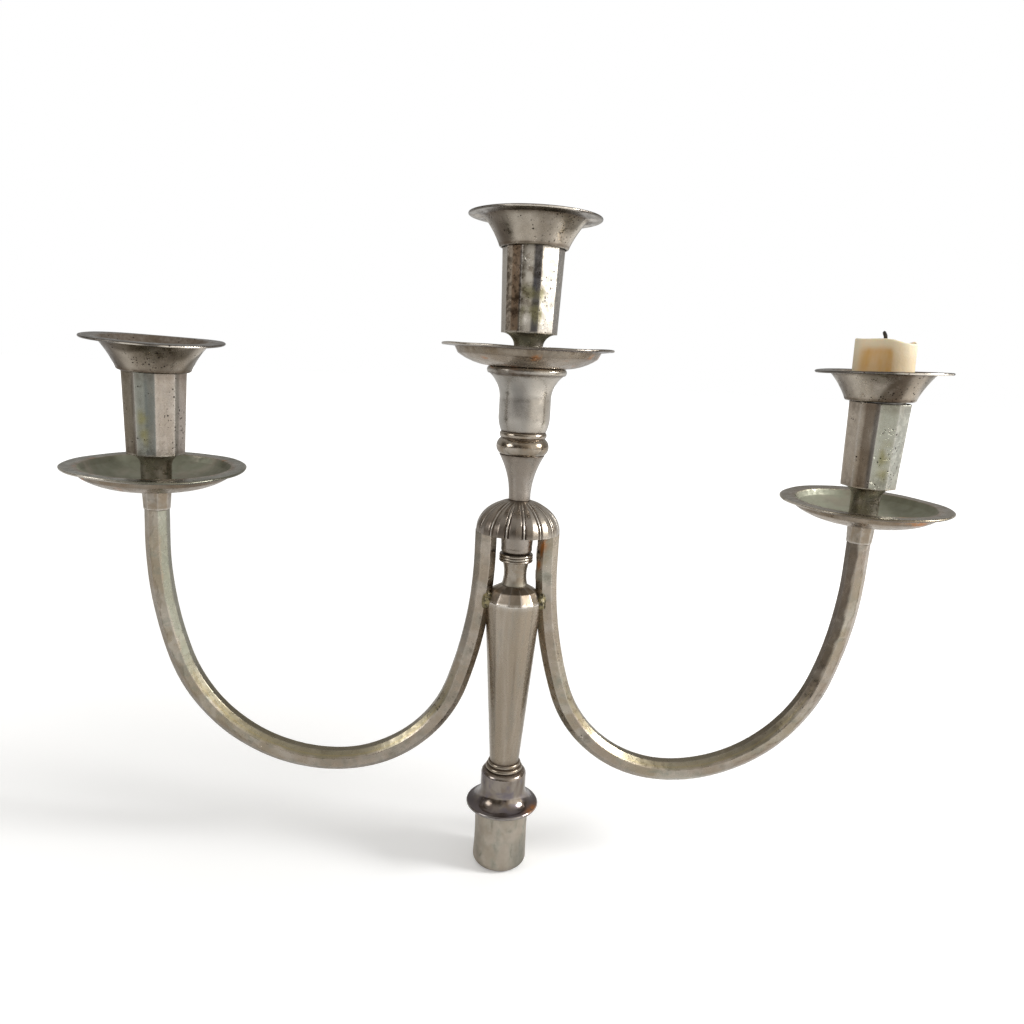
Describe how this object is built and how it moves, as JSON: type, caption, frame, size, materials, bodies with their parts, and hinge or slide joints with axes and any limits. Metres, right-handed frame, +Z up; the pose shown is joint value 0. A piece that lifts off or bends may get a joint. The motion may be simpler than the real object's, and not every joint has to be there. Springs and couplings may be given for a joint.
{
  "type": "candelabrum branch",
  "caption": "Lift-off candelabrum branch in tarnished silver plate: spigot, faceted stem, swan-curved arms, drip pans, faceted sconces, loose flared nozzles and a candle stub.",
  "frame": {"origin": "centre of the flange's flat underside, at the top of the spigot", "axes": "+Z up the stem, towards the centre light; +X towards the right arm; -Y is the front"},
  "size_m": [0.3357, 0.0646, 0.2572],
  "materials": {
    "spigot_metal": "stained matt plate over brass, never polished",
    "flange_metal": "worn and tarnished silver plate over brass, bluish tarnish near the edge",
    "stem_silver": "worn and tarnished silver plate over brass, soft polish with brown streaks",
    "dome_silver": "worn and tarnished silver plate over brass, dark in the grooves",
    "arm_silver": "worn and tarnished silver plate over brass, flaked along the outer faces",
    "ferrule_silver": "worn and tarnished silver plate over brass, dull at the seam",
    "solder": "lumpy soft solder, greenish brown",
    "rod_steel": "dull turned steel with brown stains",
    "pan_silver": "worn and tarnished silver plate over brass, verdigris film inside",
    "sconce_silver": "worn and tarnished silver plate over brass, polished flats with dark pits",
    "nozzle_silver": "worn and tarnished silver plate over brass, pitted, with a bright lip",
    "tube_metal": "dark grey, sooty plate over brass",
    "candle_wax": "ivory candle wax, slightly translucent",
    "burnt_wick": "charred cotton"
  },
  "bodies": {
    "branch": {"spigot_plug": "spigot_metal", "flange_collar": "flange_metal", "stem_foot_ring": "flange_metal", "baluster": "stem_silver", "lower_neck": "stem_silver", "neck_ring": "stem_silver", "dome_column": "stem_silver", "lobed_dome": "dome_silver", "dome_floor": "stem_silver", "upper_cone": "stem_silver", "knop": "stem_silver", "urn_socket": "stem_silver", "tie_rod": "rod_steel", "rod_washer": "rod_steel", "rod_nut": "rod_steel", "left_arm": "arm_silver", "right_arm": "arm_silver", "left_solder": "solder", "right_solder": "solder", "left_ferrule": "ferrule_silver", "right_ferrule": "ferrule_silver", "left_pan": "pan_silver", "right_pan": "pan_silver"},
    "centre_light": {"centre_pan": "pan_silver", "centre_peg": "stem_silver"},
    "candle": {"candle_stub": "candle_wax", "wick": "burnt_wick"},
    "left_sconce_body": {"left_sconce": "sconce_silver", "left_sconce_screw": "rod_steel"},
    "left_nozzle_body": {"left_nozzle_dish": "nozzle_silver", "left_nozzle_tube": "tube_metal"},
    "centre_sconce_body": {"centre_sconce": "sconce_silver", "centre_sconce_screw": "rod_steel"},
    "centre_nozzle_body": {"centre_nozzle_dish": "nozzle_silver", "centre_nozzle_tube": "tube_metal"},
    "right_sconce_body": {"right_sconce": "sconce_silver", "right_sconce_screw": "rod_steel"},
    "right_nozzle_body": {"right_nozzle_dish": "nozzle_silver", "right_nozzle_tube": "tube_metal"}
  },
  "joints": [
    {"name": "centre_light_lift", "type": "slide", "parent": "branch", "child": "centre_light", "axis": [0, 0, 1], "range_m": [0, 0.025]},
    {"name": "left_sconce_turn", "type": "hinge", "parent": "branch", "child": "left_sconce_body", "pos_m": [-0.13575, -0.00037, 0.12664], "axis": [0.0175, -0.0314, 0.9994], "continuous": true},
    {"name": "left_nozzle_lift", "type": "slide", "parent": "left_sconce_body", "child": "left_nozzle_body", "axis": [0.0349, -0.0575, 0.9977], "range_m": [0, 0.03]},
    {"name": "centre_sconce_turn", "type": "hinge", "parent": "centre_light", "child": "centre_sconce_body", "pos_m": [0, 0, 0.1773], "axis": [0, 0, 1], "continuous": true},
    {"name": "centre_nozzle_lift", "type": "slide", "parent": "centre_sconce_body", "child": "centre_nozzle_body", "axis": [0, 0, 1], "range_m": [0, 0.03]},
    {"name": "right_sconce_turn", "type": "hinge", "parent": "branch", "child": "right_sconce_body", "pos_m": [0.13601, -0.00032, 0.12514], "axis": [-0.0044, -0.0314, 0.9995], "continuous": true},
    {"name": "right_nozzle_lift", "type": "slide", "parent": "right_sconce_body", "child": "right_nozzle_body", "axis": [-0.0323, -0.007, 0.9995], "range_m": [0, 0.03]},
    {"name": "candle_lift", "type": "slide", "parent": "right_nozzle_body", "child": "candle", "axis": [-0.0323, -0.007, 0.9995], "range_m": [0, 0.035]}
  ]
}
